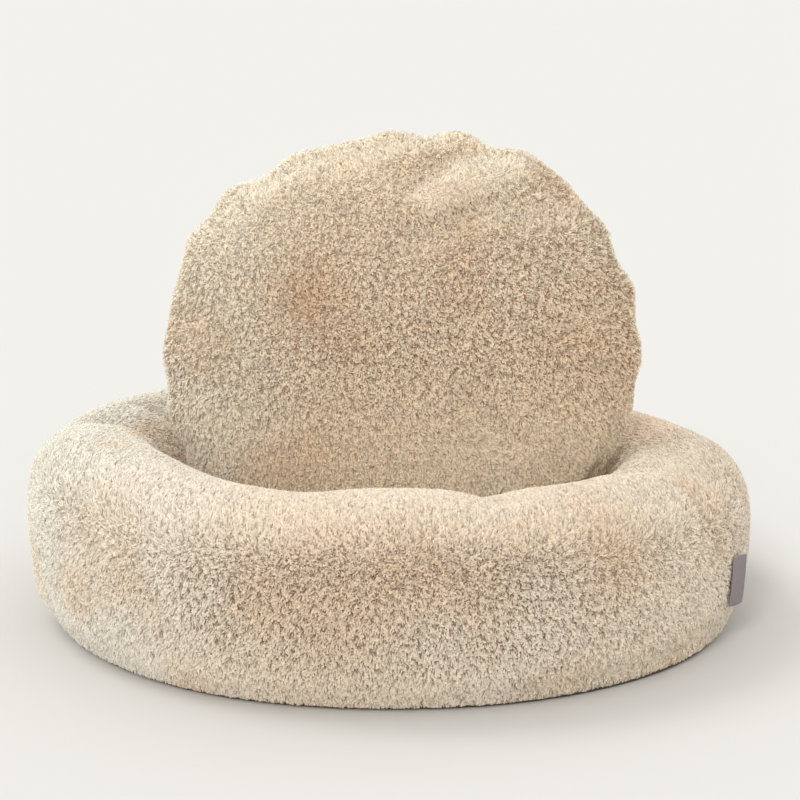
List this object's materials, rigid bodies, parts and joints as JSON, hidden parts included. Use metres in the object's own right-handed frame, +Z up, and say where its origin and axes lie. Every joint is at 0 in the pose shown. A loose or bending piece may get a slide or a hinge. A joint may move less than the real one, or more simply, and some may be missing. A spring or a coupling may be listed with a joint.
{
  "type": "donut pet bed",
  "caption": "Round plush pet bed: a filled ring on a flat base panel, with a loose round cushion standing upright in its hollow",
  "frame": {"origin": "on the surface that the bed stands on, under the middle of the ring", "axes": "+Z up, +X to the right as seen from the front, -Y towards the front, where the cushion's face looks"},
  "size_m": [0.696, 0.692, 0.453],
  "materials": {
    "ring_plush": "short dense plush pile, cream to pale beige",
    "cushion_plush": "short dense plush pile, warm beige",
    "base_fabric": "plain woven base cloth",
    "tag_fabric": "grey woven ribbon, blank"
  },
  "bodies": {
    "root": {"bolster_ring": "ring_plush", "inner_cushion": "cushion_plush", "base_panel": "base_fabric", "side_tag": "tag_fabric"}
  },
  "joints": []
}
